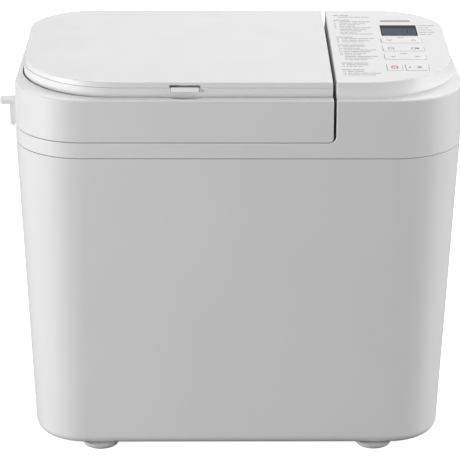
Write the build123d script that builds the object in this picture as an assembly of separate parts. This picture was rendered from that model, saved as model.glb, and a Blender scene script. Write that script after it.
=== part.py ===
"""Household bread machine: tapered plastic body, hinged lid with a fruit and nut dispenser under its own
cover, control console on the right, oven with a twist-lock bread pan, and a belt drive under the oven.

Frame: millimetres, +Z up, the front faces -Y, X runs to the right.  The origin is on the table, under the
middle of the body.  Each node is written to parts/NODE.step.
"""

from build123d import *
from math import cos, radians, sin, tan
import os

# ---------------------------------------------------------------- driving dimensions
BODY_W = 412.0  # width over the sides, drawn on to the front face at the seam
BODY_BACK = 18.0  # how much narrower it is at the rear face
BODY_D = 252.0  # depth of the body at the seam
BODY_R = 62.0  # plan radius of the body's corners
HEIGHT = 362.0  # table to top face
FOOT_H = 5.0
SEAM_Z = 294.0  # joint between lower and upper housing
LID_Z = 309.0  # joint between upper housing and lid
RIM_Z = 349.0  # shoulder round the raised top
WALL = 2.5
TAPER = 2.68  # degrees, lower housing
BOTTOM_R = 9.0  # rounding of the lower housing's bottom edge
SEAM_GAP = 0.6
SEAM_R = 0.45  # rounding of the edges at a seam
RIM_R = 1.5  # rounding of the shoulder
GAP_R = 0.9  # rounding of the edges along the gap between lid and console
GLAND_X = 118.0  # bush of the mains lead, in the rear wall
GLAND_Z = 42.0
BASE_SCREWS = [(x, y) for x in (-106, 106) for y in (-70, 0, 70)]
CHASSIS_Z = 56.0  # underside of the chassis tray

TOP_X = 196.0  # half width of the raised top
TOP_FRONT = -113.7
TOP_BACK = 117.5
TOP_R_FRONT = 85.0
TOP_R_BACK = 60.0
GAP_X0 = 84.2  # right face of the lid
GAP_X1 = 86.8  # left face of the console

COVER_X1 = 83.6  # right edge of the cover
RECESS_Z = 341.0  # floor of the recess that the cover lies in
SLAB_Z = 357.2  # joint between the cover's panel and frame
SCOOP_R = 26.0  # finger scoop in front of the latch
SCOOP_REACH = 5.2

HINGE_Y = 121.6  # lid hinge
HINGE_Z = 315.0
HINGE_X = (-112.0, 44.0)
COVER_HINGE_Y = 120.3
COVER_HINGE_Z = 349.6
COVER_HINGE_X = (-120.0, 10.0)
LINER_SCREWS = [(x, y) for x in (-172, 56) for y in (-90, 90)]
GRIP_Y = (-70.0, -54.0)

OVEN_X = -60.0  # axis of the oven and of the drive
OVEN_Y = -2.0
OVEN_W = 204.0
OVEN_D = 184.0
OVEN_R = 20.0
OVEN_FLOOR = 78.0
DECK_Z = 303.0  # top of the deck round the oven's mouth
HEATER_Z = 104.0
HEATER_R = 3.3
HEATER_W = 190.0
HEATER_D = 170.0
SENSOR_Z = 150.0
LUG_ANGLES = (90.0, 210.0, 330.0)  # the pan's twist lock

PAN_W = 158.0
PAN_D = 138.0
PAN_R = 22.0
PAN_BOTTOM = 96.0
PAN_RIM = 232.0
PAN_WALL = 1.4
PAN_TAPER = 1.4
BAIL_WIRE = 2.2
BAIL_Z = PAN_RIM + BAIL_WIRE + 0.4
BAIL_ARM = 71.0
PAN_DOG_Z = (84.6, 89.6)  # the two halves of the coupling under the pan
DRIVE_DOG_Z = (81.2, 88.8)

MOTOR_X = 135.0
MOTOR_Y = 5.0
MOTOR_R = 40.0
MOTOR_Z = (66.0, 150.0)
MOTOR_FEET = [(MOTOR_X + sx * 34, MOTOR_Y + sy * 34) for sx in (-1, 1) for sy in (-1, 1)]
PULLEY_R = 66.0
PINION_R = 9.0
BELT_Z = 31.0
BELT_W = 10.0
BELT_T = 2.5
SHIELD_X = 66.0  # heat shield, with the power board on its right
BOARD_X = SHIELD_X + 9.02

DISPENSER_X = (-120.0, 0.0)
DISPENSER_Y = (36.0, 86.0)
DISPENSER_FLOOR = 313.0
FLAP_Y = 81.6  # pins of the trapdoor
FLAP_Z = 315.9

LATCH_X = (-61.6, -36.2)
LATCH_PIVOT = (-107.0, 351.0)
LATCH_Z = (353.4, 357.3)  # the tab that a finger lifts
LATCH_SLOT = 359.6  # top of the slot above the tab

LCD_X = (136.5, 171.0)
LCD_Y = (31.4, 66.9)
KEY_X = (135.0, 173.0)
ROCKER_Y = {"select_key": 16.0, "options_key": -10.0, "timer_key": -36.0}
ROCKER_D = 16.0
PUSH_X = {"stop_key": (135.0, 148.6), "start_key": (152.0, 172.8)}
PUSH_Y = (-78.3, -59.2)
KEY_GAP = 0.4
KEY_PROUD = 0.4
KEY_EDGE_R = 0.25
BOARD_Z = 343.0  # underside of the control board
BOARD_SCREWS = [(x, y) for x in (104, 180) for y in (-72, 72)]
KEY_FOOT = BOARD_Z + 7.7  # lowest point of a key's stem
FULCRUM_Z = 354.3  # axis that the rocker keys tip on

nodes = {}


# ---------------------------------------------------------------- helpers
def box(x, y, z):
    """A block between three (low, high) pairs."""
    size = [high - low for low, high in (x, y, z)]
    middle = [(high + low) / 2 for low, high in (x, y, z)]
    return Pos(*middle) * Box(*size)


def rounded(x, y, r_front, r_back=None):
    """A rectangle in plan with rounded corners, front ones first."""
    sheet = Pos((x[0] + x[1]) / 2, (y[0] + y[1]) / 2) * Rectangle(x[1] - x[0], y[1] - y[0])
    sheet = fillet(sheet.vertices().sort_by(Axis.Y)[:2], r_front)
    return fillet(sheet.vertices().sort_by(Axis.Y)[-2:], r_front if r_back is None else r_back)


def prism(sheet, z, taper=0.0):
    """The sheet drawn at z[0], extruded to z[1], which may be lower."""
    return extrude(Pos(0, 0, z[0]) * sheet, amount=z[1] - z[0], taper=taper)


def post(x, y, z, r):
    """An upright cylinder."""
    return Pos(x, y, (z[0] + z[1]) / 2) * Cylinder(r, z[1] - z[0])


def bar_x(x, y, z, r):
    """A cylinder along X."""
    return Pos((x[0] + x[1]) / 2, y, z) * Rot(0, 90, 0) * Cylinder(r, x[1] - x[0])


def bar_y(x, y, z, r):
    """A cylinder along Y."""
    return Pos(x, (y[0] + y[1]) / 2, z) * Rot(90, 0, 0) * Cylinder(r, y[1] - y[0])


def body_outline(inset=0.0):
    """The body's plan at the seam, a little narrower at the back, moved in by inset."""
    front, back, half_d = BODY_W / 2, (BODY_W - BODY_BACK) / 2, BODY_D / 2
    sheet = Polygon((-front, -half_d), (front, -half_d), (back, half_d), (-back, half_d), align=None)
    sheet = fillet(sheet.vertices(), BODY_R)
    return offset(sheet, -inset) if inset else sheet


def top_outline(grow=0.0):
    """The plan of the raised top, moved out by grow."""
    x = (-TOP_X - grow, TOP_X + grow)
    return rounded(x, (TOP_FRONT - grow, TOP_BACK + grow), TOP_R_FRONT + grow, TOP_R_BACK + grow)


def round_at(shape, z, r):
    """The shape with its edges at the height z rounded."""
    return fillet(shape.edges().filter_by_position(Axis.Z, z - 0.1, z + 0.1), r)


def centred(w, d):
    """(low, high) pairs in X and Y for a w by d rectangle on the oven's axis."""
    return (OVEN_X - w / 2, OVEN_X + w / 2), (OVEN_Y - d / 2, OVEN_Y + d / 2)


# ---------------------------------------------------------------- lower housing and base
def lower_housing():
    low, high = FOOT_H, SEAM_Z - SEAM_GAP / 2
    outer = round_at(round_at(prism(body_outline(), (high, low), TAPER), low, BOTTOM_R), high, SEAM_R)
    inner = round_at(prism(body_outline(WALL), (high, low + WALL), TAPER), low + WALL, BOTTOM_R - WALL)
    shell = outer - inner
    shell -= prism(rounded((-100, 100), (-92, 92), 12), (0, 20))
    for i in range(9):
        x = 55 + 8 * i
        shell -= box((x, x + 3.2), (100, 140), (80, 116))
    return shell - bar_y(GLAND_X, (100, 140), GLAND_Z, 8.0)


def base_plate():
    plate = prism(rounded((-112, 112), (-98, 98), 14), (FOOT_H + WALL, FOOT_H + WALL + 1.5))
    for i in range(8):
        y = -63 + 18 * i
        plate -= box((40, 90), (y - 2, y + 2), (5, 15))
    for x, y in BASE_SCREWS:
        plate -= post(x, y, (5, 15), 2.1)
    return plate


def base_screws():
    """Six pan-head screws that hold the base plate from inside the lip."""
    top = FOOT_H + WALL + 1.5
    screws = []
    for x, y in BASE_SCREWS:
        head = fillet(post(x, y, (top, top + 2.4), 3.6).edges().sort_by(Axis.Z)[-1], 1.0)
        screws.append(head + post(x, y, (FOOT_H + WALL, top), 2.0))
    return Compound(screws)


def foot(x, y):
    """A moulded rubber foot, domed at the floor, with a hollow in its sole."""
    pad = fillet(post(x, y, (0, FOOT_H), 17.0).edges().sort_by(Axis.Z)[0], 3.5)
    return pad - post(x, y, (0, 2.0), 6.0)


def cord_gland():
    """Bush where a mains lead enters the back of the body."""
    wall = BODY_D / 2 - (SEAM_Z - GLAND_Z) * tan(radians(TAPER))
    neck = bar_y(GLAND_X, (wall - 7.5, wall + 4.6), GLAND_Z, 7.8)
    collar = bar_y(GLAND_X, (wall + 0.6, wall + 4.6), GLAND_Z, 10.5)
    collar = fillet(collar.edges().sort_by(Axis.Y)[-1], 1.5)
    nut = bar_y(GLAND_X, (wall - 7.5, wall - WALL - 0.7), GLAND_Z, 10.5)
    return neck + collar + nut - bar_y(GLAND_X, (90, 140), GLAND_Z, 3.8)


# ---------------------------------------------------------------- upper housing and console
def console_block(inset=0.0):
    """The console's outside above the band, or its cavity when inset."""
    slope = 14.0
    rise = HEIGHT - RIM_Z
    low = SEAM_Z + SEAM_GAP / 2
    wall = prism(body_outline(inset), (low, RIM_Z - inset))
    crown = prism(top_outline(rise * tan(radians(slope)) - inset), (RIM_Z - inset, HEIGHT - inset), slope)
    if not inset:
        wall = round_at(round_at(wall, RIM_Z, RIM_R), low, SEAM_R)
        crown = round_at(crown, HEIGHT, 0.9)
        # where the shoulder runs out, the crown's foot stands on its rounding
        crown += prism(top_outline(rise * tan(radians(slope))), (RIM_Z - RIM_R, RIM_Z))
    return wall + crown


def key_window(x, y):
    """Opening in the console's top for one key."""
    return prism(rounded((x[0] - KEY_GAP, x[1] + KEY_GAP), (y[0] - KEY_GAP, y[1] + KEY_GAP), 1.8), (355, 370))


def upper_housing():
    low = SEAM_Z + SEAM_GAP / 2
    block = console_block()
    lid_space = box((-300, GAP_X1), (-200, 200), (LID_Z - SEAM_GAP / 2, 400))
    lid_space = fillet(lid_space.edges().filter_by(Axis.Y).group_by(Axis.Z)[0].sort_by(Axis.X)[-1], 6.0)
    block -= lid_space
    rim = block.edges().filter_by_position(Axis.X, GAP_X1 - 0.01, GAP_X1 + 0.01)
    block = fillet(rim.filter_by_position(Axis.Z, LID_Z + 8, 400), GAP_R)
    # oven side: band wall with a deck; console side: hollow up to the top
    oven_side = box((-300, GAP_X1 + WALL), (-200, 200), (0, 400))
    block -= prism(body_outline(WALL), (low, DECK_Z - WALL)) & oven_side
    above_deck = prism(body_outline(WALL), (DECK_Z, LID_Z + 10))
    block -= above_deck & box((-300, GAP_X1 - 0.01), (-200, 200), (0, 400))
    block -= console_block(WALL) & box((GAP_X1 + WALL, 300), (-200, 200), (0, 400))
    x, y = centred(OVEN_W, OVEN_D)
    block -= prism(rounded(x, y, OVEN_R), (290, 306))
    # lip that centres the lower housing
    lip = prism(body_outline(WALL + 0.4), (SEAM_Z - 6, low + 2)) + prism(body_outline(1.0), (low, low + 2))
    block += lip - prism(body_outline(WALL + 2.0), (0, 400))
    for x, y in BOARD_SCREWS:
        block += post(x, y, (BOARD_Z + 1.62, HEIGHT - 1), 3.2)
    for mid in HINGE_X:
        for x in ((mid - 19, mid - 11), (mid + 11, mid + 19)):
            block += hinge_ear(x)
    block -= box(LCD_X, LCD_Y, (355, 370))
    for name, y in ROCKER_Y.items():
        block -= key_window(KEY_X, (y - ROCKER_D / 2, y + ROCKER_D / 2))
    for x in PUSH_X.values():
        block -= key_window(x, PUSH_Y)
    return block


def hinge_ear(x):
    """Fixed knuckle of the lid hinge, standing on the band's rear wall."""
    ear = bar_x(x, HINGE_Y, HINGE_Z, 4.2)
    ear += box(x, (HINGE_Y - 4.2, BODY_D / 2), (LID_Z - 4, HINGE_Z))
    return ear - bar_x((x[0] - 1, x[1] + 1), HINGE_Y, HINGE_Z, 1.55)


def hinge_pins():
    """Two steel pins, one in each lid hinge."""
    return Compound([bar_x((mid - 18.5, mid + 18.5), HINGE_Y, HINGE_Z, 1.5) for mid in HINGE_X])


def display_lens():
    lens = box((LCD_X[0] + 0.2, LCD_X[1] - 0.2), (LCD_Y[0] + 0.2, LCD_Y[1] - 0.2), (360.2, HEIGHT - 0.1))
    flange = box((LCD_X[0] - 2, LCD_X[1] + 2), (LCD_Y[0] - 2, LCD_Y[1] + 2), (358.2, 359.4))
    return lens + flange + box((LCD_X[0] + 0.2, LCD_X[1] - 0.2), (LCD_Y[0] + 0.2, LCD_Y[1] - 0.2), (359, 361))


def lcd_module():
    case = box((LCD_X[0] - 3, LCD_X[1] + 3), (LCD_Y[0] - 3, LCD_Y[1] + 3), (BOARD_Z + 1.6, 357.9))
    glass = box((LCD_X[0] + 1, LCD_X[1] - 1), (LCD_Y[0] + 1, LCD_Y[1] - 1), (356.9, 360))
    return case - glass


def control_board():
    board = box((99, 185), (-84, 77), (BOARD_Z, BOARD_Z + 1.6))
    for x, y in BOARD_SCREWS:
        board -= post(x, y, (340, 350), 1.7)
    return board


def switch_points():
    """Places of the tactile switches under the keys."""
    points = [(x, y) for y in ROCKER_Y.values() for x in (KEY_X[0] + 6, KEY_X[1] - 6)]
    middle = (PUSH_Y[0] + PUSH_Y[1]) / 2
    return points + [((x[0] + x[1]) / 2, middle) for x in PUSH_X.values()]


def key_switches():
    """Eight tactile switches."""
    bodies = []
    for x, y in switch_points():
        case = box((x - 3, x + 3), (y - 3, y + 3), (BOARD_Z + 1.6, BOARD_Z + 5.1))
        bodies.append(case + post(x, y, (BOARD_Z + 5, BOARD_Z + 6.6), 1.7))
    return Compound(bodies)


def keycap(x, y):
    """A key with a retaining flange below the console's top."""
    cap = prism(rounded(x, y, 1.4), (357.0, HEIGHT + KEY_PROUD))
    cap = round_at(cap, HEIGHT + KEY_PROUD, KEY_EDGE_R)
    grow = 1.6
    return cap + prism(rounded((x[0] - grow, x[1] + grow), (y[0] - grow, y[1] + grow), 2), (356.2, 358.2))


def rocker(mid_y):
    y = (mid_y - ROCKER_D / 2, mid_y + ROCKER_D / 2)
    key = keycap(KEY_X, y)
    for x in (KEY_X[0] + 6, KEY_X[1] - 6):
        key += post(x, mid_y, (KEY_FOOT, 357), 1.6)
    return key


def push_key(x):
    key = keycap(x, PUSH_Y)
    return key + post((x[0] + x[1]) / 2, (PUSH_Y[0] + PUSH_Y[1]) / 2, (KEY_FOOT, 357), 1.6)


def key_fulcrums():
    """Three ridged posts on the board that the rocker keys tip on."""
    middle = (KEY_X[0] + KEY_X[1]) / 2
    posts = []
    for y in ROCKER_Y.values():
        leg = box((middle - 1.5, middle + 1.5), (y - 5, y + 5), (BOARD_Z + 1.6, FULCRUM_Z))
        posts.append(leg + bar_y(middle, (y - 5, y + 5), FULCRUM_Z, 1.5))
    return Compound(posts)


# ---------------------------------------------------------------- lid
def lid_block():
    """The lid's outside, cut off along the gap to the console, with rounded edges."""
    low = LID_Z + SEAM_GAP / 2
    block = prism(body_outline(), (low, RIM_Z)) & box((-300, GAP_X0), (-200, 200), (300, 400))
    block = fillet(block.edges().filter_by(Axis.Y).group_by(Axis.Z)[0].sort_by(Axis.X)[-1], 4.0)
    return round_at(round_at(block, RIM_Z, RIM_R), low, SEAM_R)


def lid_recess(grow=0.0):
    """The recess for the cover, open to the right, with the finger scoop in front."""
    x = (-TOP_X - 2.2 - grow, TOP_X + 2.2 + grow)
    y = (TOP_FRONT - 3.8 - grow, TOP_BACK + 3.8 + grow)
    sheet = rounded(x, y, TOP_R_FRONT - 1.0 + grow, TOP_R_BACK + 2.2 + grow)
    mid = (LATCH_X[0] + LATCH_X[1]) / 2
    scoop_front = TOP_FRONT - 3.8 - SCOOP_REACH - grow
    return sheet + Pos(mid, scoop_front + SCOOP_R + grow) * Circle(SCOOP_R + grow)


def lid_shell():
    outer = lid_block() - prism(lid_recess(), (RECESS_Z, 400))
    # the same shape one wall further in: under the shoulder, and under the recess
    inside = prism(body_outline(WALL), (300, RIM_Z - WALL))
    inside &= box((-300, GAP_X0 - WALL), (-200, 200), (300, 400))
    inside -= prism(lid_recess(WALL), (RECESS_Z - WALL, 400))
    shell = outer - inside
    x, y = DISPENSER_X, DISPENSER_Y
    shell -= box((x[0] - 0.4, x[1] + 0.4), (y[0] - 0.4, y[1] + 0.4), (330, 350))
    for i in range(10):
        slot = -96 + 9 * i
        shell -= box((slot, slot + 3), (120, 130), (322, 337))
    for mid in HINGE_X:
        knuckle = (mid - 10.6, mid + 10.6)
        shell -= box((mid - 19.4, mid + 19.4), (118, 130), (300, HINGE_Z + 5.2))
        arm = bar_x(knuckle, HINGE_Y, HINGE_Z, 4.2)
        arm += box(knuckle, (HINGE_Y - 4.2, BODY_D / 2 - 0.2), (HINGE_Z, HINGE_Z + 8))
        shell += arm - bar_x(knuckle, HINGE_Y, HINGE_Z, 1.55)
    # bevel along the rear edge, so that it clears the band as the lid swings
    bevel = Pos(0, BODY_D / 2 + 0.6, LID_Z - 0.08) * Rot(33, 0, 0) * Box(600, 12, 4)
    shell -= bevel
    for x in COVER_HINGE_X:
        shell -= box((x - 5.0, x + 5.0), (117, 123.3), (346.0, 360))
        for side in ((x - 9, x - 5), (x + 5, x + 9)):
            shell += cover_ear(side)
    for x, y in LINER_SCREWS:
        shell += post(x, y, (312.22, RECESS_Z - 1), 4)
    return shell + latch_catch()


def cover_ear(x):
    """Lug on the shoulder that carries the cover's hinge pin."""
    lug = bar_x(x, COVER_HINGE_Y, COVER_HINGE_Z, 2.2)
    lug += box(x, (COVER_HINGE_Y - 0.5, BODY_D / 2 - 2), (RIM_Z - 3, COVER_HINGE_Z + 0.4))
    return lug - bar_x((x[0] - 1, x[1] + 1), COVER_HINGE_Y, COVER_HINGE_Z, 1.05)


def latch_catch():
    """Hooked lug on the recess floor that the cover's latch snaps under."""
    mid = (LATCH_X[0] + LATCH_X[1]) / 2
    x = (mid - 6, mid + 6)
    return box(x, (-104.4, -102.2), (RECESS_Z - 1, 348)) + bar_x(x, -104.1, 347.0, 1.0)


def liner_screws():
    """Four pan-head screws that hold the inner cover in the lid."""
    heads = []
    for x, y in LINER_SCREWS:
        head = fillet(post(x, y, (308.8, 310.98), 3.6).edges().sort_by(Axis.Z)[0], 1.0)
        heads.append(head + post(x, y, (310, 312.2), 1.9))
    return Compound(heads)


def lid_liner():
    """Pressed metal inner cover, with a turned-up edge and the dispenser's opening."""
    sheet = body_outline(5.5) & Pos(-60, 0) * Rectangle(277, 233)
    tray = prism(sheet, (311.0, 317.0)) - prism(offset(sheet, -1.2), (312.2, 320))
    x, y = DISPENSER_X, DISPENSER_Y
    hole = rounded((x[0] - 1, x[1] + 1), (y[0] - 1, y[1] + 1), 2)
    tray -= prism(hole, (300, 320))
    for i in range(4):
        vent_x = -100 + 25 * i
        tray -= prism(rounded((vent_x, vent_x + 14), (96, 101), 2), (300, 320))
    for x, y in LINER_SCREWS:
        tray -= post(x, y, (300, 320), 2.0)
    return tray


def lid_gasket():
    """Silicone ring that closes the lid on the deck round the oven's mouth."""
    x, y = centred(OVEN_W + 20, OVEN_D + 20)
    ring = rounded(x, y, OVEN_R + 10)
    band = prism(ring, (DECK_Z + 0.5, 311)) - prism(offset(ring, -4), (300, 320))
    return fillet(band.edges().filter_by_position(Axis.Z, DECK_Z + 0.4, DECK_Z + 0.6), 1.2)


def lid_grip():
    """Finger lip screwed to the lid's left side."""
    side = -BODY_W / 2 + 2
    lip = box((side - 13.9, side + 6), GRIP_Y, (326.9, 331.0))
    lip = fillet(lip.edges().filter_by(Axis.Z).group_by(Axis.X)[0], 3.0)
    lip = fillet(lip.edges().filter_by(Axis.Y).group_by(Axis.X)[0], 1.2)
    y = (GRIP_Y[0] + 0.5, GRIP_Y[1] - 0.5)
    boss = box((side - 4.6, side - 0.1), y, (306.9, 328))
    boss = fillet(boss.edges().filter_by(Axis.Y).group_by(Axis.X)[0].sort_by(Axis.Z)[0], 2.5)
    grip = lip + boss + box((side - 2, side + 6), y, (LID_Z + 0.6, 328))
    lid_inner = prism(body_outline(-0.02), (300, 349))
    return grip - lid_inner


def dispenser_box():
    x, y = DISPENSER_X, DISPENSER_Y
    wall = 2.0
    case = box(x, y, (DISPENSER_FLOOR, 342.5))
    case -= box((x[0] + wall, x[1] - wall), (y[0] + wall, y[1] - wall), (300, 350))
    lip = box((x[0] - 4, x[1] + 4), (y[0] - 4, y[1] + 4), (RECESS_Z + 0.2, RECESS_Z + 1.5))
    case += lip - box(x, y, (330, 350))
    return case - bar_x((x[0] - 1, x[1] + 1), FLAP_Y, FLAP_Z, 1.25)


def dispenser_flap():
    """Trapdoor under the dispenser, hung on pins near its rear edge."""
    x, y = DISPENSER_X, DISPENSER_Y
    door = box((x[0] + 2.4, x[1] - 2.4), (y[0] + 2.4, FLAP_Y), (FLAP_Z - 1.6, FLAP_Z))
    door += bar_x((x[0] + 2.4, x[1] - 2.4), FLAP_Y, FLAP_Z, 1.6)
    return door + bar_x((x[0] + 0.3, x[1] - 0.3), FLAP_Y, FLAP_Z, 1.2)


def flap_magnet():
    """Holding magnet for the flap, against the front of the dispenser."""
    y = DISPENSER_Y[0] - 0.1
    coil = bar_y(-60, (y - 15, y - 3), 322, 8)
    yoke = box((-70, -50), (y - 17, y - 15), (312.22, 331)) + bar_y(-60, (y - 16, y), 322, 3.5)
    return coil + yoke + box((-70, -50), (y - 17, y - 1), (312.22, 314))


# ---------------------------------------------------------------- dispenser cover
def cover_panel():
    """The flat top of the lid, over the dispenser."""
    slope = 8.0
    sheet = top_outline((HEIGHT - SLAB_Z) * tan(radians(slope)))
    slab = prism(sheet, (SLAB_Z, HEIGHT), slope) & box((-300, COVER_X1), (-200, 200), (300, 400))
    slab = round_at(slab, HEIGHT, 0.9)
    slot = box((LATCH_X[0] - 0.9, LATCH_X[1] + 1.4), (-130, -108), (357, LATCH_SLOT))
    middle = (LATCH_X[0] + LATCH_X[1]) / 2
    rib = box((middle - 2.5, middle + 2.5), (-112.5, -107), (LATCH_SLOT - 1.0, LATCH_SLOT + 0.5))
    return slab - slot + rib


def cover_frame():
    """Ribbed lower half of the cover."""
    sheet = top_outline(1.3)
    keep = box((-300, COVER_X1), (-200, 200), (300, 400))
    ring = prism(sheet, (345, SLAB_Z - 0.2)) & keep
    hollow = prism(top_outline(1.3 - WALL), (340, SLAB_Z - 2))
    frame = ring - (hollow & box((-300, COVER_X1 - WALL), (-200, 200), (300, 400)))
    # notch for the latch's neck; the skin goes on below it
    frame -= box((LATCH_X[0] - 0.4, LATCH_X[1] + 0.4), (-130, -104), (LATCH_Z[0] + 0.5, 360))
    for x in COVER_HINGE_X:
        frame -= box((x - 9.6, x + 9.6), (115, 130), (340, 353.2))
        arm = bar_x((x - 4.6, x + 4.6), COVER_HINGE_Y, COVER_HINGE_Z, 2.2)
        arm += box((x - 4.6, x + 4.6), (115.0, COVER_HINGE_Y - 0.2), (COVER_HINGE_Z - 1, 355.4))
        frame += arm - bar_x((x - 6, x + 6), COVER_HINGE_Y, COVER_HINGE_Z, 1.05)
    for x in (LATCH_X[0] + 1, LATCH_X[1] - 4):
        cheek = box((x, x + 3), (-110, -104), (349, 356))
        frame += cheek - bar_x((x - 1, x + 4), LATCH_PIVOT[0], LATCH_PIVOT[1], 1.3)
    return frame


def cover_hinge_pins():
    pins = [bar_x((x - 8.5, x + 8.5), COVER_HINGE_Y, COVER_HINGE_Z, 1.0) for x in COVER_HINGE_X]
    return Compound(pins)


def cover_latch():
    """Spring latch: lifting its front tab swings the hook off the catch."""
    y, z = LATCH_PIVOT
    face = TOP_FRONT - 1.7  # just in front of the frame's skin
    low, high = LATCH_Z
    # wedge-shaped tab that overhangs the notch, with a neck through it
    wedge = Polygon(
        (face, low),
        (face - 1.5, low),
        (face - 2.6, low + 1.0),
        (face + 0.6, high),
        (face + 4.0, high),
        (face + 4.0, low + 0.9),
        (face, low + 0.9),
        align=None,
    )
    tab = Pos(LATCH_X[0], 0, 0) * extrude(Plane.YZ * wedge, LATCH_X[1] - LATCH_X[0], dir=(1, 0, 0))
    tab = fillet(tab.edges().filter_by_position(Axis.Y, face - 2.7, face - 1.4).filter_by(Axis.X), 0.4)
    inner = (LATCH_X[0] + 4.6, LATCH_X[1] - 4.6)
    arm = box(inner, (face + 3.5, y + 1), (low + 1.0, high - 0.6))
    arm += box(inner, (y - 2, y + 1), (z + 1, high - 0.6))
    barrel = bar_x(inner, y, z, 2.2)
    pivot = bar_x((LATCH_X[0] + 1.2, LATCH_X[1] - 1.2), y, z, 1.25)
    mid = (LATCH_X[0] + LATCH_X[1]) / 2
    leg = box((mid - 6, mid + 6), (y - 1.4, y + 0.2), (343.6, z))
    hook = bar_x((mid - 6, mid + 6), y + 0.3, 344.8, 1.2)
    return tab + arm + barrel + pivot + leg + hook


# ---------------------------------------------------------------- oven
def oven_chamber():
    x, y = centred(OVEN_W, OVEN_D)
    wall = 1.0
    sheet = rounded(x, y, OVEN_R)
    tub = prism(offset(sheet, wall), (OVEN_FLOOR - wall, 300.2)) - prism(sheet, (OVEN_FLOOR, 310))
    flange = prism(offset(sheet, 9), (299.2, 300.2)) - prism(sheet, (290, 310))
    tub += flange
    tub -= post(OVEN_X, OVEN_Y, (60, 90), 12)
    for dy in (-10, 10):
        tub -= bar_x((30, 60), OVEN_Y + dy, HEATER_Z, 4.4)
    return tub - bar_x((30, 60), OVEN_Y + 40, SENSOR_Z, 3.3)


def heater_element():
    """Sheathed ring heater whose two ends leave through the oven's right wall."""
    half_w, half_d = HEATER_W / 2, HEATER_D / 2
    corners = [
        (half_w + 28, -10),
        (half_w, -10),
        (half_w, -half_d),
        (-half_w, -half_d),
        (-half_w, half_d),
        (half_w, half_d),
        (half_w, 10),
        (half_w + 28, 10),
    ]
    points = [(OVEN_X + dx, OVEN_Y + dy, HEATER_Z) for dx, dy in corners]
    path = FilletPolyline(*points, radius=[7, 26, 26, 26, 26, 7])
    section = Plane(origin=points[0], z_dir=(-1, 0, 0)) * Circle(HEATER_R)
    return sweep(section, path=path)


def heater_brackets():
    """Three clips on the oven's walls that carry the heater."""
    clips = []
    for dx, dy in ((0, -1), (-1, 0), (0, 1)):
        reach = HEATER_W / 2 * abs(dx) + HEATER_D / 2 * abs(dy)
        wall = OVEN_W / 2 * abs(dx) + OVEN_D / 2 * abs(dy)
        span = sorted((dx + dy) * v for v in (reach - 5, wall))
        side = (-6, 6)
        x, y = (span, side) if dx else (side, span)
        x = tuple(OVEN_X + v for v in x)
        y = tuple(OVEN_Y + v for v in y)
        clip = box(x, y, (HEATER_Z - 4.8, HEATER_Z + 4.8))
        if dx:
            clip -= bar_y(OVEN_X + dx * reach, (-30, 30), HEATER_Z, HEATER_R + 0.1)
        else:
            clip -= bar_x((OVEN_X - 30, OVEN_X + 30), OVEN_Y + dy * reach, HEATER_Z, HEATER_R + 0.1)
        clips.append(clip)
    return Compound(clips)


def temp_sensor():
    """Thermistor probe in a spring plate on the oven's right wall."""
    wall = OVEN_X + OVEN_W / 2
    y = OVEN_Y + 40
    probe = bar_x((wall - 8, wall + 14), y, SENSOR_Z, 3.0)
    plate = box((wall + 1, wall + 2.2), (y - 12, y + 12), (SENSOR_Z - 8, SENSOR_Z + 8))
    return fillet(probe.edges().sort_by(Axis.X)[0], 2.0) + plate


def ring_sector(r, z, middle, width):
    """A piece of a ring between two radii, centred on an angle, on the oven's axis."""
    ring = post(OVEN_X, OVEN_Y, z, r[1]) - post(OVEN_X, OVEN_Y, (z[0] - 1, z[1] + 1), r[0])
    a, b = radians(middle - width / 2), radians(middle + width / 2)
    far = 200.0
    wedge = Polygon((0, 0), (far * cos(a), far * sin(a)), (far * cos(b), far * sin(b)), align=None)
    return ring & prism(Pos(OVEN_X, OVEN_Y) * wedge, (z[0] - 1, z[1] + 1))


def pan_socket():
    """Cup on the oven floor with three inward claws for the pan's lugs."""
    low = OVEN_FLOOR + 0.02
    cup = post(OVEN_X, OVEN_Y, (low, low + 13), 46) - post(OVEN_X, OVEN_Y, (low, low + 20), 43)
    cup += post(OVEN_X, OVEN_Y, (low, low + 1.6), 46) - post(OVEN_X, OVEN_Y, (low - 1, low + 3), 12)
    for angle in LUG_ANGLES:
        cup += ring_sector((37.6, 44), (low + 10.6, low + 13), angle, 12)
    return cup


# ---------------------------------------------------------------- bread pan
def pan_body():
    """Coated aluminium pan, wider at the rim, with a rolled edge and two ears for the bail."""
    x, y = centred(PAN_W, PAN_D)
    outer = prism(rounded(x, y, PAN_R), (PAN_RIM, PAN_BOTTOM), PAN_TAPER)
    outer = fillet(outer.edges().filter_by_position(Axis.Z, PAN_BOTTOM - 0.1, PAN_BOTTOM + 0.1), 8)
    inner = prism(offset(rounded(x, y, PAN_R), -PAN_WALL), (PAN_RIM, PAN_BOTTOM + PAN_WALL), PAN_TAPER)
    inner_low = PAN_BOTTOM + PAN_WALL
    inner = fillet(inner.edges().filter_by_position(Axis.Z, inner_low - 0.1, inner_low + 0.1), 8 - PAN_WALL)
    edge = prism(offset(rounded(x, y, PAN_R), 3.0), (PAN_RIM - 3, PAN_RIM))
    edge = fillet(edge.edges(), 1.3)
    pan = outer + edge - inner
    for side in (-1, 1):
        ear_x = sorted(OVEN_X + side * v for v in (PAN_W / 2 - 1.4, PAN_W / 2 + 1.0))
        ear = box(ear_x, (OVEN_Y - 7, OVEN_Y + 7), (PAN_RIM - 6, BAIL_Z + 5))
        ear = fillet(ear.edges().filter_by(Axis.X).group_by(Axis.Z)[-1], 5)
        pan += ear
    bail_hole = bar_x((OVEN_X - 100, OVEN_X + 100), OVEN_Y, BAIL_Z, BAIL_WIRE + 0.08)
    return pan - bail_hole - post(OVEN_X, OVEN_Y, (80, 110), 9.0)


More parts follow.
